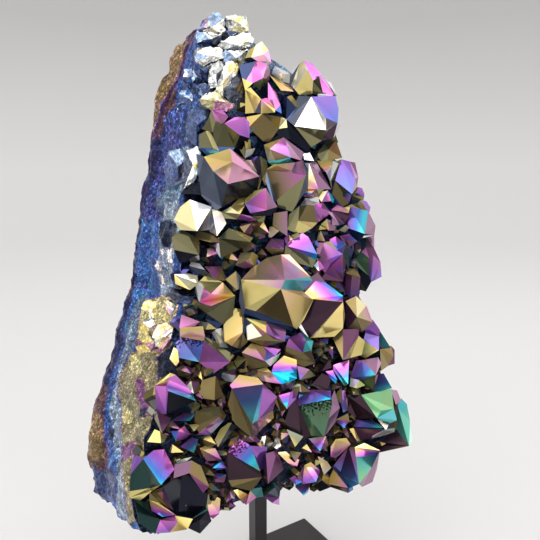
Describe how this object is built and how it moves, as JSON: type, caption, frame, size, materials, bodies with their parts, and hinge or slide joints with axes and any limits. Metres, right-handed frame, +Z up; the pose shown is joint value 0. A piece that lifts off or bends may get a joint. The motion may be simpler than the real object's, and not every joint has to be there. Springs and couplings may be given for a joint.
{
  "type": "aura amethyst cluster",
  "caption": "Upright slab of metal-coated amethyst, its front crowded with iridescent quartz points, held on a square steel post and plate.",
  "frame": {"origin": "middle of the stand plate's underside", "axes": "+Z up; the crystal face looks along -Y, the outer rind of the slab is at +Y, and +X is to the right of somebody who faces the crystals"},
  "size_m": [0.1803, 0.14, 0.3422],
  "materials": {
    "coated_quartz": "thin vapour-deposited metal oxide film: mirror-bright rainbow colours on the crystal faces, royal blue, gold and grey on the broken rock",
    "black_steel": "satin black powder coat"
  },
  "bodies": {
    "root": {"amethyst_cluster": "coated_quartz", "stand_post": "black_steel", "stand_base": "black_steel"}
  },
  "joints": []
}
